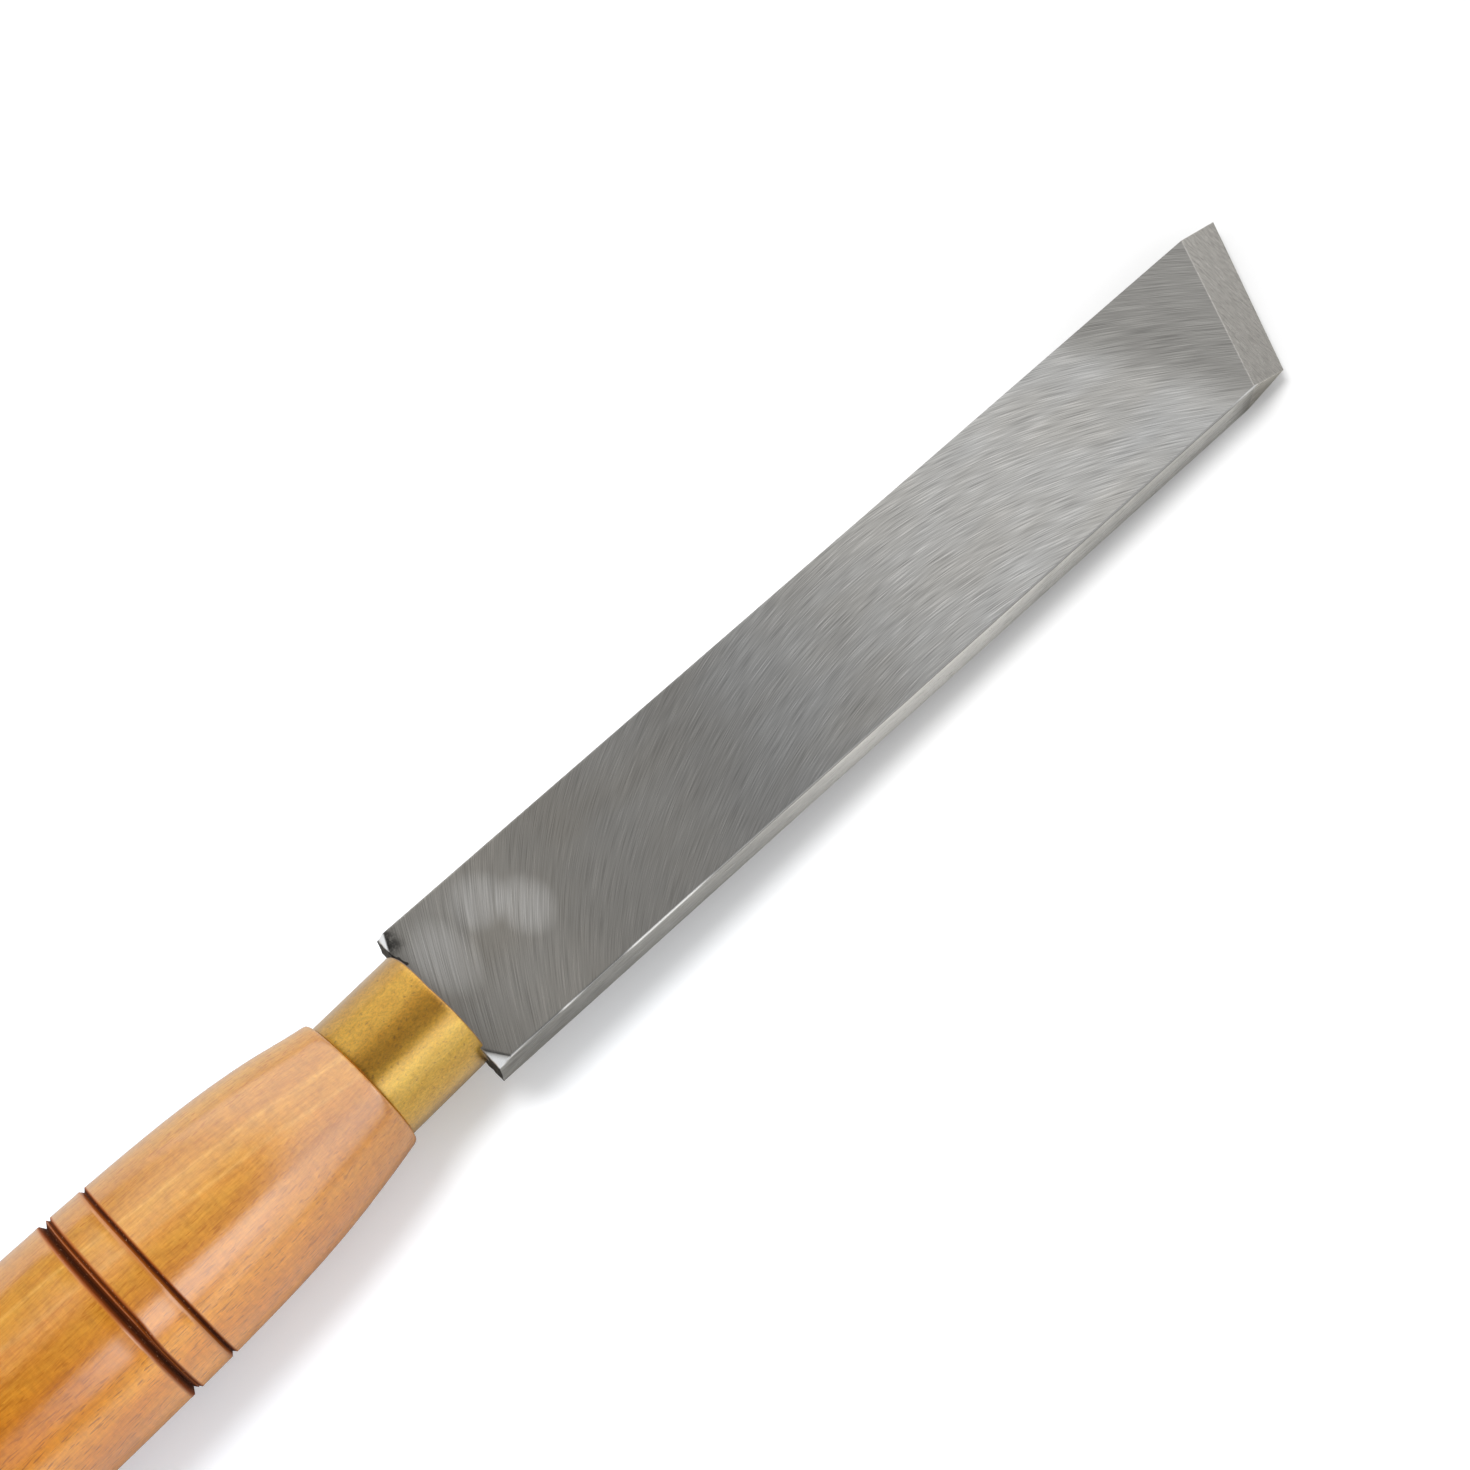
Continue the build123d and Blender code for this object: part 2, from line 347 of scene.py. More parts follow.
# ---- the handle

def clamped_curve(xs, ys, first_slope, last_slope, at):
    """The cubic spline through the given points with the given end slopes. The slopes between are solved
    so that the curvature is continuous; each span is then a Hermite cubic."""
    n, h, d = len(xs), np.diff(xs), np.diff(ys) / np.diff(xs)
    system, right = np.eye(n), np.zeros(n)
    right[0], right[-1] = first_slope, last_slope
    for i in range(1, n - 1):
        system[i, i - 1 : i + 2] = h[i], 2 * (h[i - 1] + h[i]), h[i - 1]
        right[i] = 3 * (h[i] * d[i - 1] + h[i - 1] * d[i])
    slope = np.linalg.solve(system, right)
    k = np.clip(np.searchsorted(xs, at) - 1, 0, n - 2)
    t = (at - xs[k]) / h[k]
    return ((1 + 2 * t) * (1 - t) ** 2 * ys[k] + t * (1 - t) ** 2 * h[k] * slope[k]
            + t * t * (3 - 2 * t) * ys[k + 1] + t * t * (t - 1) * h[k] * slope[k + 1])


def sweep(x, x0, r0, x1, r1):
    """Two arcs of one radius that meet halfway and run level at both ends: with the radius
    (L^2 + H^2) / 4H, each arc falls by R - sqrt(R^2 - d^2) at the distance d from its level end."""
    length, height = abs(x1 - x0), r1 - r0
    radius = (length**2 + height**2) / (4 * abs(height))
    from_start, from_end = np.abs(x - x0), np.abs(x - x1)
    near = radius - np.sqrt(radius**2 - np.minimum(from_start, length / 2) ** 2)
    far = radius - np.sqrt(radius**2 - np.minimum(from_end, length / 2) ** 2)
    return np.where(from_start < length / 2, r0 + np.sign(height) * near, r1 - np.sign(height) * far)


def wood_radius(x):
    """The turned outline: a flare from the neck to the belly, sweeps over the waist to the swell, and
    half an ellipse at the butt."""
    flare_distance = np.array([0.5, 9.3, 17.0, 32.0, BELLY_DISTANCE])
    flare_rise = np.array([0.07, 1.75, 2.8, 3.75, 4.25])
    slope = tan(radians(NECK_FLARE))
    flare = clamped_curve(flare_distance, NECK_RADIUS + flare_rise, slope, 0.0, NECK - x)
    belly, waist, swell = NECK - BELLY_DISTANCE, BUTT + WAIST_FROM_BUTT, BUTT + BUTT_LENGTH
    r = np.where(x > belly, flare, sweep(x, belly, BELLY_RADIUS, waist, WAIST_RADIUS))
    r = np.where(x < waist, sweep(x, waist, WAIST_RADIUS, swell, SWELL_RADIUS), r)
    dome = SWELL_RADIUS * np.sqrt(np.clip(1 - ((swell - x) / BUTT_LENGTH) ** 2, 0, None))
    return np.where(x < swell, dome, r)


def cut_shift(angle):
    """How far the second cut lies towards the wide ring: it is clear of it on the far side of the handle
    and runs into it on the near side."""
    return 0.45 * smooth_step(0.45, 0.8, -np.cos(angle))


def ring_depth(behind, angle):
    """Depth of the burned rings at a distance behind the neck and an angle round the handle: V cuts whose
    depth falls in a straight line from the middle, each with a low lip of wood on its rear side."""
    def cut(at, width, depth):
        return depth * np.clip(1 - np.abs(behind - at) / (width / 2), 0, 1)

    def lip(at, height, width):
        return height * np.exp(-(((behind - at) / width) ** 2))

    wander = 0.06 * np.sin(3 * angle + 1.0) + 0.04 * np.sin(7 * angle)
    wide = cut(WIDE_RING + 0.4 * wander, 1.15, 0.85 + 0.05 * np.sin(2 * angle))
    second = cut(SECOND_CUT + cut_shift(angle) + 0.4 * wander, 0.60, 0.42)
    narrow = cut(NARROW_RING + 0.5 * wander, 0.85, 0.5 + 0.04 * np.sin(2 * angle + 2))
    lips = lip(WIDE_RING + 1.0, 0.035, 0.28) + lip(NARROW_RING + 0.8, 0.025, 0.25)
    return np.maximum(np.maximum(wide, second), narrow) - lips


def scorch(behind, angle):
    """How burnt the wood is: full inside a ring, fading beside it, further on the rear side of the wide
    one. The part ahead of the wide ring is squeezed towards it where the second cut runs into it."""
    join, room = 41.6, 1.25  # where the squeezed part ends, and its length
    squeeze = room / (room - cut_shift(angle))
    squeezed = np.where(behind > join, behind, join - (join - behind) * squeeze)
    wide = np.interp(squeezed, [40.35, 40.65, 41.0, 41.3, 41.5, 41.9, 42.15, 42.6, 43.05],
                     [0, 0.5, 0.95, 0.45, 0.9, 1, 0.95, 0.65, 0])
    narrow = np.interp(behind, [34.8, 35.05, 35.25, 35.5, 35.75, 36.1, 36.6],
                       [0, 0.6, 1, 0.95, 0.5, 0.2, 0])
    return np.maximum(wide, narrow)


def hole_loops(depth, mouth, angle):
    """The tang's hole from its end to its mouth: rectangles that keep a clearance from the tang, each
    point at the lesser of its distances to the two pairs of walls."""
    c, s = (np.maximum(np.abs(v), 1e-9) for v in (np.cos(angle), np.sin(angle)))
    clearance, point_end = TANG_CLEARANCE, depth + TANG_POINT_LENGTH

    def rectangle(x, half_width, half_thickness):
        reach = np.minimum(half_width / c, half_thickness / s)
        return np.stack([np.full(len(angle), x), reach * np.cos(angle), reach * np.sin(angle)], -1)

    loops = [rectangle(depth, TANG_POINT / 2 + clearance, TANG_POINT / 2 + clearance)]
    for t in np.linspace(0, 1, 12):
        half_width = TANG_TIP / 2 + clearance + (TANG_WIDTH - TANG_TIP) / 2 * t
        half_thickness = TANG_TIP / 2 + clearance + (TANG_THICKNESS - TANG_TIP) / 2 * t
        loops.append(rectangle(point_end + (mouth - point_end) * t, half_width, half_thickness))
    return np.array(loops)


def outline_stations():
    """Distances behind the neck for the loops of the turned outline, close together at the rings."""
    swell = HANDLE_LENGTH - BUTT_LENGTH
    fine = [np.linspace(34.7, 36.3, 33), np.linspace(40.3, 43.0, 55)]
    coarse = [np.linspace(0.6, 34.5, 34), np.linspace(36.5, 40.1, 6), np.linspace(43.3, swell, 130)]
    dome = [swell + BUTT_LENGTH * np.sin(np.linspace(0, pi / 2, 22)[1:-1])]
    return np.sort(np.concatenate(fine + coarse + dome))


def handle_mesh(material):
    """The turned wood as one closed skin: the tang's hole from its end to its mouth, the tenon, the
    neck's face and rounded corner, the turned outline less the rings, and the butt. Its front follows the
    ferrule."""
    angle = np.linspace(0, 2 * pi, 240, endpoint=False)
    tenon_end, depth = NECK + FERRULE_LENGTH - TENON_RECESS, -TANG_LENGTH - HOLE_EXTRA
    tenon, ease = FERRULE_RADIUS - FERRULE_WALL - TENON_CLEARANCE, 0.5
    front_x = [tenon_end, tenon_end, tenon_end, NECK + 0.3, NECK, NECK, NECK]
    front_r = [6.8, 8.0, tenon, tenon, tenon, 9.4, NECK_RADIUS - ease]
    corner = np.linspace(0, radians(90 - NECK_FLARE), 5)
    behind = outline_stations()
    shape_x = np.concatenate([front_x, NECK - ease + ease * np.cos(corner), NECK - behind])
    turned = wood_radius(NECK - behind)[:, None] - ring_depth(behind[:, None], angle)
    front = np.concatenate([front_r, NECK_RADIUS - ease + 0.01 + ease * np.sin(corner)])
    shape_r = np.concatenate([np.repeat(front[:, None], len(angle), 1), turned])
    along = np.broadcast_to(shape_x[:, None], shape_r.shape)
    rings = np.stack([along, shape_r * np.cos(angle), shape_r * np.sin(angle)], -1)
    with_ferrule = smooth_step(NECK - 9, NECK - 0.5, along)[..., None]
    rings = rings + with_ferrule * (in_ferrule_line(rings) - rings)
    hole = on_table(hole_loops(depth, tenon_end, angle))
    loops = np.concatenate([hole, on_table(rings, HANDLE_TURN)])
    burn = np.zeros(loops.shape[:2])
    burn[-len(behind):] = scorch(behind[:, None], angle)
    start = on_table(np.array([depth, 0, 0]))
    end = on_table(np.array([BUTT, 0, 0]), HANDLE_TURN)
    return capped_skin("handle_beech", loops, start, end, {"burn": burn}, material)


# ---- materials

def new_material(name):
    """A new material, its Principled shader and the Recipe that adds nodes to it."""
    material = bpy.data.materials.new(name)
    material.use_nodes = True
    return material, material.node_tree.nodes["Principled BSDF"], Recipe(material.node_tree)


class Recipe:
    """Short calls that add shader nodes. A value may be a number, a colour or another node's output."""

    def __init__(self, tree):
        self.tree = tree

    def feed(self, socket, value):
        """Links a node's output to the socket, or sets it to a plain value."""
        if isinstance(value, bpy.types.NodeSocket):
            self.tree.links.new(value, socket)
        elif value is not None:
            socket.default_value = value

    def add(self, kind, inputs=(), out=0, **settings):
        """One node with its inputs fed and its settings made; returns the wanted output."""
        node = self.tree.nodes.new("ShaderNode" + kind)
        for key, value in settings.items():
            setattr(node, key, value)
        for socket, value in dict(inputs).items():
            self.feed(node.inputs[socket], value)
        return node.outputs[out]

    def math(self, operation, a, b=None):
        return self.add("Math", {0: a, 1: b}, operation=operation)

    def plus(self, a, b):
        return self.math("ADD", a, b)

    def minus(self, a, b):
        return self.math("SUBTRACT", a, b)

    def times(self, a, b):
        return self.math("MULTIPLY", a, b)

    def split(self, vector):
        """The three coordinates of a vector."""
        return self.add("SeparateXYZ", {0: vector}).node.outputs

    def carried(self, name):
        """The value of that name that the mesh carries at its points."""
        return self.add("Attribute", out="Fac", attribute_name=name)

    def place(self, turn):
        """Object coordinates as millimetres of the tool's frame, or of the handle's."""
        coordinates = self.add("TexCoord", out="Object")
        return self.add("Mapping", {0: coordinates, 1: PLACE, 2: turn.to_euler("XYZ"), 3: (0.001,) * 3},
                        vector_type="TEXTURE")

    def facing(self, turn):
        """The surface's outward direction in the tool's frame, or in the handle's."""
        normal = self.add("TexCoord", out="Normal")
        return self.add("Mapping", {0: normal, 2: turn.inverted().to_euler("XYZ")}, vector_type="NORMAL")

    def noise(self, vector, scale, detail=2, roughness=0.5):
        inputs = {"Vector": vector, "Scale": scale, "Detail": detail, "Roughness": roughness}
        return self.add("TexNoise", inputs)

    def streaks(self, vector, scale, detail=2, roughness=0.5, turn=(0, 0, 0)):
        """Noise with its own scale along each axis, so a small one draws it out that way."""
        drawn_out = self.add("Mapping", {0: vector, 2: turn, 3: scale})
        return self.noise(drawn_out, 1.0, detail, roughness)

    def span(self, value, low, high, to_low=0.0, to_high=1.0, smooth=False):
        """Carries the range from low to high over to the range from to_low to to_high, and clamps."""
        return self.add("MapRange", {0: value, 1: low, 2: high, 3: to_low, 4: to_high},
                        interpolation_type="SMOOTHSTEP" if smooth else "LINEAR")

    def ramp(self, value, *stops):
        """A grey or a colour that goes in straight lines between stops, each a position and what it is
        there."""
        node = self.tree.nodes.new("ShaderNodeValToRGB")
        elements = node.color_ramp.elements
        while len(elements) < len(stops):
            elements.new(0.5)
        for element, (position, colour) in zip(elements, stops):
            element.position = position
            element.color = self.rgba(colour)
        self.feed(node.inputs[0], value)
        return node.outputs[0]

    def rgba(self, colour):
        """A grey or a colour with full opacity."""
        return (*colour, 1) if isinstance(colour, tuple) else (colour, colour, colour, 1)

    def mix(self, factor, a, b, blend="MIX"):
        node = self.tree.nodes.new("ShaderNodeMix")
        node.data_type, node.blend_type = "RGBA", blend
        self.feed(node.inputs[0], factor)
        for index, value in ((6, a), (7, b)):
            linked = isinstance(value, bpy.types.NodeSocket)
            self.feed(node.inputs[index], value if linked else self.rgba(value))
        return node.outputs[2]

    def tint(self, a, b):
        """One colour times another."""
        return self.mix(1.0, a, b, "MULTIPLY")

    def spot(self, across, along, centre, size):
        """1 at the centre and fading to 0 at the rim of an ellipse in two coordinates, a little beyond
        size."""
        parts = []
        for value, middle, half in zip((across, along), centre, size):
            off = self.math("DIVIDE", self.minus(value, middle), half)
            parts.append(self.times(off, off))
        return self.span(self.plus(*parts), 1.6, 0.0, smooth=True)

    def bump(self, height, strength, distance):
        return self.add("Bump", {"Height": height, "Strength": strength, "Distance": distance})


def before_top_line(r, x, y):
    """Millimetres along the blade from a point to the bevel's top line, below 0 on the bevel."""
    to_edge = r.minus(r.minus(edge_x(0), x), r.times(y, -tan(SKEW)))
    line = r.plus(TOP_LINE * BEVEL_REACH, r.times(y, TOP_LINE_LEAN / HALF_WIDTH * BEVEL_REACH))
    return r.minus(to_edge, line)


def steel_scratches(r, place, x, y, on_flat, bevel):
    """The wheel's marks, and the coarse part of those on the flats. On the flats they follow arcs, the
    level lines of y + bend (x - middle)^2 + steepening (steep_below - x)^3, whose last term counts only
    where x is below steep_below. They are steep on the bevels and lengthwise on the sides."""
    middle, bend, steep_below, steepening = 85.0, 0.0059, 40.0, 0.00027
    off_middle, short_of = r.minus(x, middle), r.math("MAXIMUM", r.minus(steep_below, x), 0.0)
    steeper = r.times(r.math("POWER", short_of, 3.0), steepening)
    arc = r.plus(r.plus(y, r.times(r.times(off_middle, off_middle), bend)), steeper)

    def along_arcs(length_scale, width_scale, detail, roughness):
        drawn_out = r.add("CombineXYZ", {0: r.times(x, length_scale), 1: r.times(arc, width_scale)})
        return r.noise(drawn_out, 1.0, detail, roughness)

    coarse, fine = along_arcs(0.05, 1.5, 2, 0.6), along_arcs(0.16, 7.0, 1, 0.8)
    steep = r.streaks(place, (4.5, 0.7, 1.0), 3, 0.7, turn=(0, 0, radians(26)))
    lengthwise = r.streaks(place, (0.25, 4.0, 4.0), 3, 0.65)
    scratch = r.mix(bevel, r.mix(0.90, coarse, fine), steep)
    return r.mix(on_flat, lengthwise, scratch), coarse


def steel_tone(r, place, x, y, share, on_flat, coarse):
    """The steel's colour before its scratches: cloudy, with painted reflection that makes the flats and
    the sides lighter and darker along the blade, warmer near the shoulder, and with three lighter patches."""
    patch = r.streaks(place, (0.05, 0.11, 0.1))
    base = r.mix(r.span(patch, 0.35, 0.65), (0.410, 0.402, 0.385), (0.430, 0.430, 0.425))
    # Painted reflection: how bright the flats are along the blade.
    reflection_bands = r.ramp(share, (0.0, 0.62), (0.012, 0.77), (0.04, 0.87), (0.075, 0.895), (0.11, 0.82),
                   (0.145, 0.705), (0.21, 0.65), (0.25, 0.638), (0.32, 0.555), (0.36, 0.58), (0.47, 0.71),
                   (0.58, 0.915), (0.63, 0.94), (0.75, 0.945), (0.83, 0.87))
    base = r.tint(base, reflection_bands)
    base = r.mix(r.span(x, 20, 60), r.tint(base, (1.0, 0.96, 0.90)), base)
    lighter_patches = r.plus(r.spot(x, y, (13.5, 7.0), (4.0, 4.0)), r.spot(x, y, (18.0, 2.0), (3.6, 4.6)))
    lighter_patches = r.plus(lighter_patches, r.spot(x, y, (5.0, 4.0), (4.0, 6.0)))
    lighter_patches = r.times(lighter_patches, r.span(coarse, 0.35, 0.65, 0.28, 0.62))
    base = r.mix(lighter_patches, base, (0.70, 0.69, 0.67))
    # Painted reflection: the sides' brightness along the blade, for the table and shadow they reflect.
    side = r.ramp(share, (0.0, 0.30), (0.08, 0.38), (0.21, 0.53), (0.29, 0.61), (0.36, 0.80), (0.43, 1.0),
                  (0.58, 1.0), (0.66, 0.80), (0.8, 0.70))
    return r.mix(on_flat, side, base)


def steel_edges(r, base, y, z, share, before_line):
    """Paints a highlight along the bevel's top line, and paints the near upper arris dark, as painted
    shade, with stretches of painted highlight.
    """
    # Painted highlight along the bevel's top line.
    line = r.span(r.math("ABSOLUTE", before_line), 0.16, 0.02)
    base = r.mix(r.times(line, 0.18), base, (0.60, 0.58, 0.55))
    # Painted shade on the near upper arris, with stretches of painted highlight.
    arris = r.times(r.span(y, -12.40, -12.47), r.span(z, 2.86, 2.93))
    arris_glints = r.ramp(share, (0.01, 0.6), (0.045, 0.1), (0.068, 0.1), (0.075, 0.8), (0.1, 0.1), (0.14, 0.1),
                  (0.155, 0.8), (0.22, 0.8), (0.25, 0.15), (0.9, 0.1), (0.93, 0.4), (0.97, 0.3))
    return r.mix(arris, base, r.mix(arris_glints, (0.20, 0.20, 0.195), (0.95, 0.95, 0.94)))


def ground_steel():
    """Ground tool steel: scratched by the wheel, painted darker at the tip as a dimmer reflection, with
    painted shade beside the far facet, black scale at the shoulder and two freshly ground corners."""
    material, shader, r = new_material("ground_steel")
    place = r.place(TURN)
    x, y, z = r.split(place)
    upness = r.math("ABSOLUTE", r.add("SeparateXYZ", {0: r.facing(TURN)}, out=2))
    on_flat, share = r.span(upness, 0.3, 0.6), r.span(x, 0, 160)
    before_line = before_top_line(r, x, y)
    bevel = r.span(before_line, 0.05, -0.05)
    scratch, coarse = steel_scratches(r, place, x, y, on_flat, bevel)

    base = steel_tone(r, place, x, y, share, on_flat, coarse)
    # Painted reflection: the tip and its bevel are painted darker, as the dimmer reflection there.
    tip = r.span(r.plus(x, r.times(y, 0.5)), 138.0, 146.0, smooth=True)
    base = r.mix(tip, base, r.mix(bevel, (0.235, 0.23, 0.218), (0.41, 0.395, 0.37)))
    depth = r.ramp(share, (0.02, 1.0), (0.19, 0.62), (0.4, 0.62), (0.62, 0.80))
    base = r.mix(depth, base, r.span(scratch, 0.22, 0.78, 0.40, 1.57), "MULTIPLY")
    base = steel_edges(r, base, y, z, share, before_line)
    # Painted shade beside the far facet, mottled.
    shade_mottle = r.span(r.noise(place, 1.3, 3, 0.7), 0.25, 0.55)
    base = r.mix(r.times(r.carried("facet_shade"), shade_mottle), base, (0.07, 0.068, 0.063))
    base = r.mix(r.carried("ground"), base, (0.90, 0.91, 0.92))
    flakes = r.times(r.noise(place, 2.5, 2), 0.4)
    black = r.span(r.plus(r.carried("scale"), flakes), 0.55, 0.75)

    r.feed(shader.inputs["Base Color"], r.mix(black, base, (0.012, 0.011, 0.010)))
    r.feed(shader.inputs["Metallic"], r.minus(1.0, black))
    r.feed(shader.inputs["Roughness"], r.mix(black, r.span(scratch, 0.3, 0.7, 0.36, 0.26), 0.75))
    r.feed(shader.inputs["Normal"], r.bump(scratch, 0.30, 0.00002))
    return material


def satin_brass():
    """Drawn brass tube, satin: fine length-wise haze, painted reflection in stripes round the tube, small
    pits, a dark brown front rim and a thin clear lacquer."""
    material, shader, r = new_material("satin_brass")
    place = r.place(HANDLE_TURN)
    haze = r.streaks(place, (0.35, 0.9, 0.9), 3, 0.6)
    speck = r.streaks(place, (2.2, 3.4, 3.4), 4, 0.75)
    base = r.mix(r.span(haze, 0.3, 0.7), (0.78, 0.422, 0.025), (0.91, 0.536, 0.052))
    # Painted reflection: lighter and darker stripes along the tube, by where they lie round it.
    across = r.span(r.add("SeparateXYZ", {0: place}, out=1), -10.0, 10.0)
    reflection_bands = r.ramp(across,
                   (0.0, (0.73, 0.72, 0.72)), (0.21, (0.72, 0.77, 0.90)), (0.32, (0.68, 0.62, 0.50)),
                   (0.37, (0.71, 0.60, 0.45)), (0.49, (0.94, 0.81, 0.55)), (0.55, (1.0, 0.94, 0.80)),
                   (0.69, (0.92, 0.88, 0.76)), (0.77, (0.82, 0.77, 0.70)), (0.86, (0.64, 0.58, 0.50)),
                   (1.0, (0.55, 0.51, 0.45)))
    base = r.tint(base, reflection_bands)
    base = r.tint(base, r.span(speck, 0.3, 0.7, 0.70, 1.30))
    pit = r.span(r.noise(place, 1.9), 0.64, 0.70)
    base = r.mix(r.times(pit, 0.5), base, (0.28, 0.12, 0.02))
    base = r.mix(r.carried("rim"), base, (0.33, 0.13, 0.02))
    r.feed(shader.inputs["Base Color"], base)
    r.feed(shader.inputs["Roughness"], r.span(speck, 0.3, 0.7, 0.33, 0.39))
    r.feed(shader.inputs["Normal"], r.bump(speck, 0.2, 0.00004))
    shader.inputs["Metallic"].default_value = 1.0
    shader.inputs["Coat Weight"].default_value = 1.0
    shader.inputs["Coat IOR"].default_value = 1.68
    shader.inputs["Coat Roughness"].default_value = 0.22
    return material


def beech_layers(r, layer):
    """The growth layers' colours, from the near side of the handle to the far one, with two pale stripes.
    Their near end is also painted lighter, as painted light, and the layers under the coat's highlight a
    little darker, as painted shade."""
    return r.ramp(layer,
                  (0.0, (0.78, 0.275, 0.008)), (0.18, (0.60, 0.218, 0.010)), (0.33, (0.485, 0.186, 0.013)),
                  (0.445, (0.53, 0.212, 0.020)), (0.462, (0.58, 0.275, 0.045)),
                  (0.478, (0.54, 0.235, 0.026)), (0.56, (0.52, 0.230, 0.022)),
                  (0.575, (0.57, 0.275, 0.040)), (0.59, (0.485, 0.203, 0.016)),
                  (0.75, (0.47, 0.190, 0.014)), (1.0, (0.44, 0.175, 0.014)))


def beech_figure(r, wood, place, bent, layer):
    """Adds what lies within the layers: broad figure, fine fibre, flakes, and the rays' short dark
    dashes, which the middle of the top is free of."""
    figure = r.streaks(bent, (0.018, 0.16, 0.10), 3, 0.6)
    wood = r.tint(wood, r.ramp(figure, (0.28, (0.83, 0.72, 0.55)), (0.5, 1.0), (0.72, (1.10, 1.26, 1.6))))
    fibre = r.streaks(bent, (0.32, 2.8, 2.8), 3, 0.75)
    wood = r.tint(wood, r.ramp(fibre, (0.3, (0.80, 0.73, 0.58)), (0.5, 1.0), (0.7, (1.12, 1.22, 1.4))))
    flake = r.streaks(place, (1.1, 0.45, 0.45), 3, 0.7)
    wood = r.tint(wood, r.span(flake, 0.3, 0.7, 0.88, 1.12))
    dash = r.span(r.streaks(bent, (0.5, 3.6, 3.6), 1, 0.4), 0.61, 0.68)
    dash = r.times(dash, r.span(r.math("ABSOLUTE", r.minus(layer, 0.53)), 0.08, 0.16))
    return r.mix(r.times(dash, 0.75), wood, (0.37, 0.115, 0.004))


def burned(r, wood, place, burn):
    """Browns the wood in four steps to black as it is more burnt, with pale crumbs left in the rings."""
    for start, colour in ((0.0, (0.42, 0.135, 0.008)), (0.25, (0.26, 0.062, 0.004)),
                          (0.50, (0.16, 0.032, 0.003)), (0.75, (0.045, 0.010, 0.003))):
        wood = r.mix(r.span(burn, start, start + 0.25), wood, colour)
    crumb = r.times(r.span(r.noise(place, 3.2), 0.66, 0.72), r.span(burn, 0.3, 0.8))
    return r.mix(r.times(crumb, 0.6), wood, (0.40, 0.22, 0.13))


def lacquered_beech():
    """Beech whose growth layers stand upright, so they show as stripes along the top and as broad figure
    on the sides. It is painted darker at the near side behind the rings, as painted shade, is burned in
    the rings, and has a clear lacquer."""
    material, shader, r = new_material("lacquered_beech")
    place = r.place(HANDLE_TURN)
    wave = r.streaks(place, (0.025, 0.06, 0.06))
    bent = r.add("VectorMath", {0: place, 1: r.tint(wave, (0.0, 3.0, 3.0))}, operation="ADD")
    x, y, _ = r.split(bent)
    slope, first, last = 0.07, -13.5, 16.5  # of the layers, along the handle and across it
    layer = r.span(r.plus(y, r.times(r.plus(x, 36.0), slope)), first, last)
    wood = beech_figure(r, beech_layers(r, layer), place, bent, layer)
    # Painted shade: the near side behind the rings is painted darker.
    rear = r.times(r.span(x, -54.0, -66.0), r.span(layer, 0.30, 0.18))
    wood = r.mix(rear, wood, r.tint(wood, (0.84, 0.76, 0.52)))
    burn = r.carried("burn")
    r.feed(shader.inputs["Base Color"], burned(r, wood, place, burn))
    r.feed(shader.inputs["Roughness"], r.span(burn, 0.0, 0.6, 0.42, 0.8))
    r.feed(shader.inputs["Coat Weight"], r.span(burn, 0.1, 0.7, 1.0, 0.05))
    shader.inputs["Specular IOR Level"].default_value = 0.10
    shader.inputs["Coat IOR"].default_value = 2.25
    shader.inputs["Coat Roughness"].default_value = 0.18
    grain = r.streaks(place, (0.8, 3.2, 3.2), 2, 0.6)
    r.feed(shader.inputs["Coat Normal"], r.bump(grain, 0.25, -0.00005))
    return material


# ---- table, light and camera

def pale_table():
    """A wide level sheet just under the tool. To the viewer it is nearly white, but painted darker
    towards +X, which deepens the tool's shadow by the blade's tip as painted shade, and bluish with a
    slight glow that fades towards +X, which lightens and cools the shadow under the handle as painted
    light. To the light that it throws back at the tool it is a mid grey, as in a dimmer room."""
    mesh = bpy.data.meshes.new("table")
    mesh.from_pydata([(-3, -3, 0), (3, -3, 0), (3, 3, 0), (-3, 3, 0)], [], [(0, 1, 2, 3)])
    table = bpy.data.objects.new("table", mesh)
    bpy.context.scene.collection.objects.link(table)
    material, shader, r = new_material("pale_table")
    seen = r.add("LightPath", out="Is Camera Ray")
    along = r.span(r.add("SeparateXYZ", {0: r.add("TexCoord", out="Object")}), -0.02, 0.22)
    # Painted shade and light: darker towards +X for the shadow by the tip, bluish at -X for the handle's.
    white = r.ramp(along, (0.0, (0.88, 0.94, 1.0)), (0.3, (0.94, 0.96, 0.99)), (0.6, 0.84), (1.0, 0.66))
    # Painted light: a glow that only the viewer sees, lightening the shadow under the handle.
    glow = r.ramp(along, (0.0, (0.19, 0.205, 0.225)), (0.3, 0.12), (0.7, 0.07), (1.0, 0.05))
    r.feed(shader.inputs["Base Color"], r.mix(seen, (0.55, 0.54, 0.51), white))
    r.feed(shader.inputs["Emission Color"], r.mix(seen, 0.0, glow))
    shader.inputs["Emission Strength"].default_value = 1.0
    shader.inputs["Roughness"].default_value = 1.0
    shader.inputs["Specular IOR Level"].default_value = 0.0
    mesh.materials.append(material)


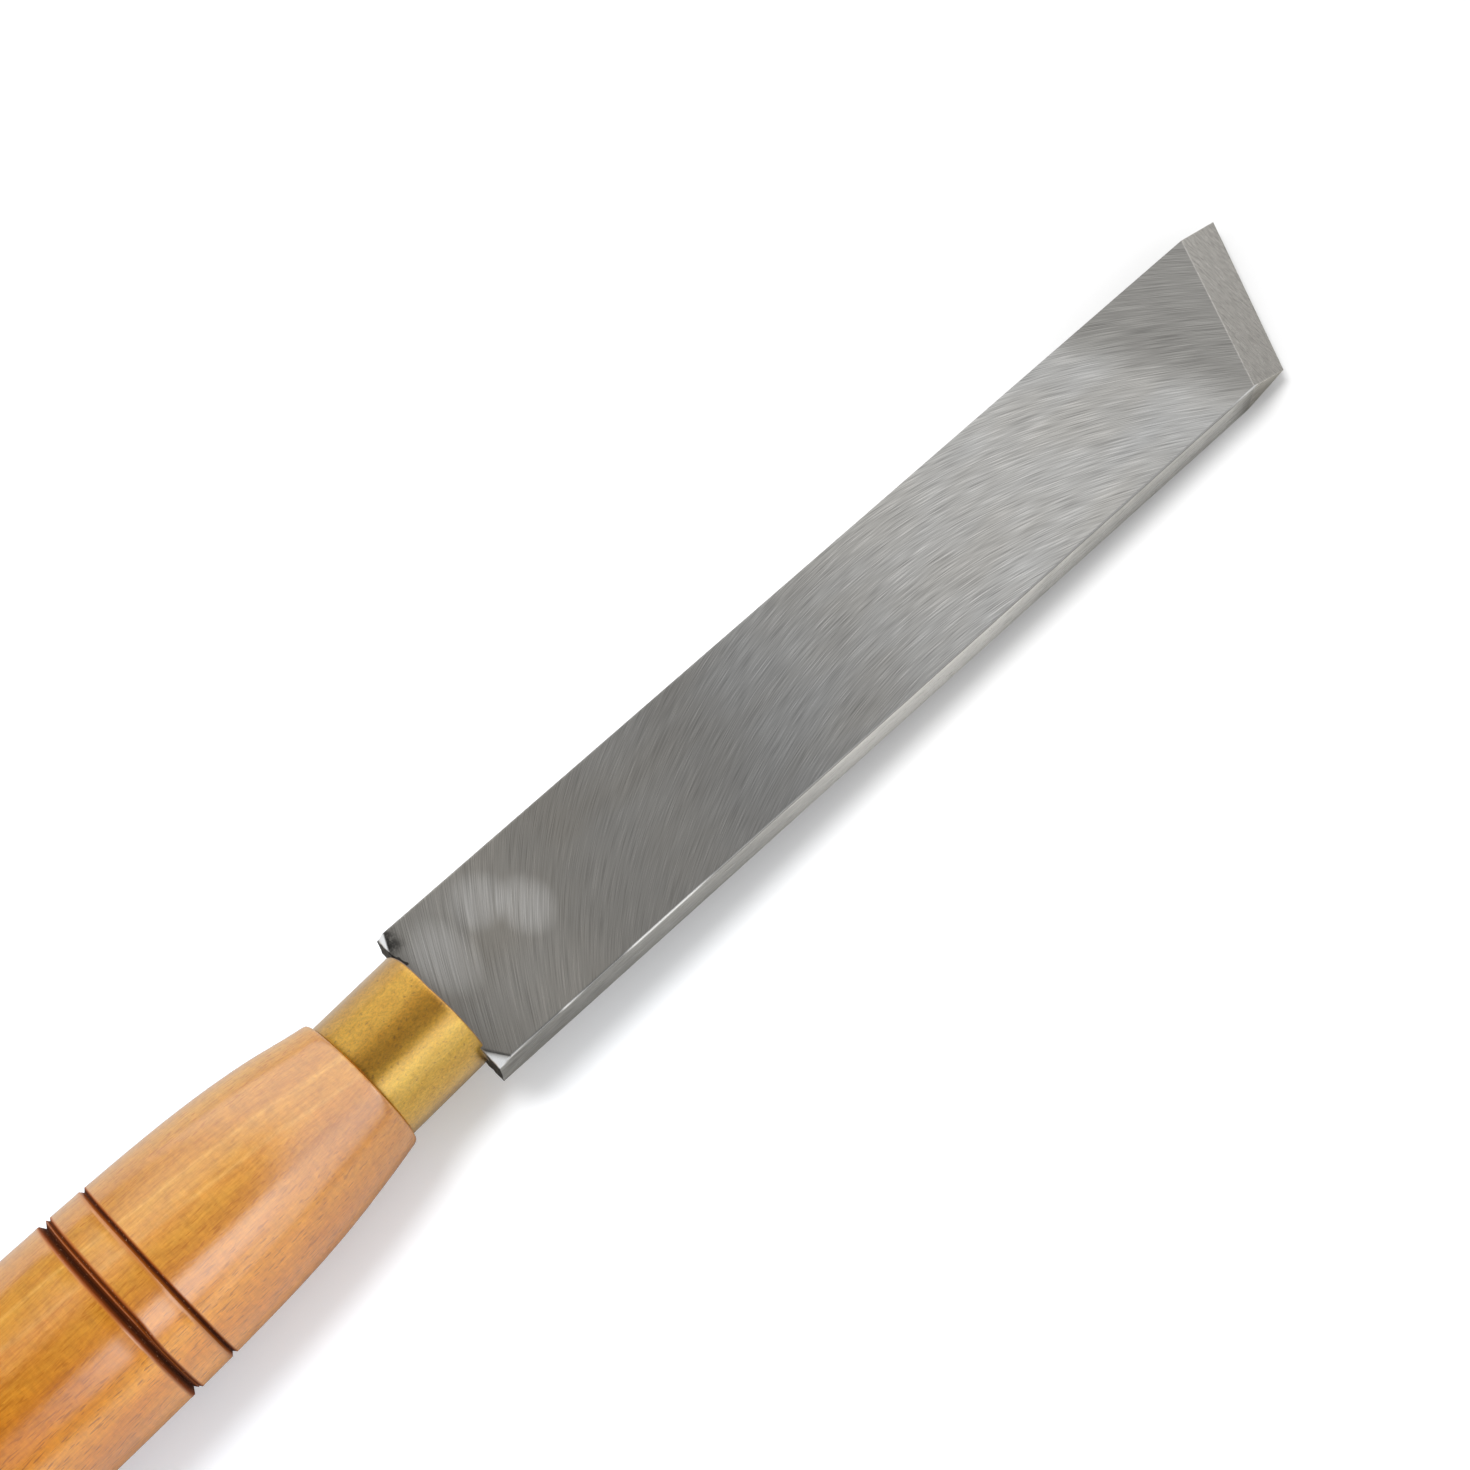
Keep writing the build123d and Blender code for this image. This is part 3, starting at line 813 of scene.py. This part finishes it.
def studio_sky():
    """Soft light from a tent round the tool. By the angle from straight up towards +Y it has a bright
    strip at -Y, is dim overhead and milder at +Y. By the angle towards +X it is dimmest just behind the
    middle, and even panels hang beyond the blade's end and behind the handle."""
    world = bpy.data.worlds.new("tent")
    bpy.context.scene.world = world
    world.use_nodes = True
    r = Recipe(world.node_tree)
    sky = r.split(r.add("TexCoord", out="Generated"))
    lean = r.span(r.math("ARCTAN2", sky[1], sky[2]), -pi, pi)
    ahead = r.span(r.math("ARCTAN2", sky[0], sky[2]), -pi, pi)

    def by_angle(angle, *stops):
        return r.ramp(angle, *((0.5 + degrees / 360, value) for degrees, value in stops))

    light = by_angle(lean, (-100, 0.08), (-70, 0.13), (-62, 0.68), (-43, 0.68), (-35, 0.07), (-8, 0.050),
                     (15, 0.120), (27, 0.25), (54, 0.29), (72, 0.19), (96, 0.09))
    light = r.tint(light, by_angle(ahead, (-26, 0.5), (-16, 0.10), (-1, 0.05), (5, 0.90), (11, 1.0)))
    light = r.tint(light, by_angle(ahead, (6, 1.0), (11, 0.72), (16, 0.72), (20, 1.0)))
    end_panel = by_angle(ahead, (17, 0.0), (24, 1.0), (60, 1.0), (75, 0.0))
    light = r.mix(r.times(end_panel, 0.9), light, 0.35)
    rear_panel = by_angle(ahead, (-85, 1.0), (-30, 1.0), (-22, 0.0))
    light = r.mix(r.times(rear_panel, 0.9), light, 0.24)
    background = world.node_tree.nodes["Background"]
    r.feed(background.inputs["Color"], light)
    background.inputs["Strength"].default_value = 4.0


def overhead_key():
    """A wide soft sun above the +Y side, which throws the tool's shadow a little way towards -Y. It is a
    diffuse fill: it doesn't show in the metals."""
    lamp = bpy.data.lights.new("key", "SUN")
    lamp.energy, lamp.angle = 2.3, 0.5
    key = bpy.data.objects.new("key", lamp)
    key.rotation_euler = Vector((-0.15, 0.30, 0.94)).to_track_quat("Z", "Y").to_euler()
    key.visible_glossy = False
    bpy.context.scene.collection.objects.link(key)


def viewpoint():
    """The camera, aimed in the tool's frame at a place on the blade's upper flat, from its distance."""
    look = Vector((0.26573, 0.31794, -0.91011)).normalized()
    upward = Vector((0.63809, 0.64966, 0.41326)).normalized()
    aim, distance = Vector((55.9, 0.42, 3.175)), 355.3
    rightward = look.cross(upward).normalized()
    upward = rightward.cross(look)
    place = aim - distance * look
    data = bpy.data.cameras.new("camera")
    data.lens, data.sensor_width, data.clip_start = 62.0, 36.0, 0.01
    camera = bpy.data.objects.new("camera", data)
    turn = TURN @ Matrix((rightward, upward, -look)).transposed()
    camera.matrix_world = Matrix.Translation(PLACE + TURN @ place / 1000) @ turn.to_4x4()
    bpy.context.scene.collection.objects.link(camera)
    bpy.context.scene.camera = camera


def build():
    """Makes the three pieces, each in its own material, and then the table, the light and the camera."""
    for make, finish, node, slot in ((blade_mesh, ground_steel, "blade", "steel"),
                                     (ferrule_mesh, satin_brass, "ferrule", "brass"),
                                     (handle_mesh, lacquered_beech, "handle", "beech")):
        piece = make(finish())
        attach(piece, "root")
        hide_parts(node)
    pale_table()
    studio_sky()
    overhead_key()
    viewpoint()
    bpy.context.scene.view_settings.view_transform = "Standard"
    bpy.context.scene.cycles.use_denoising = True


build()
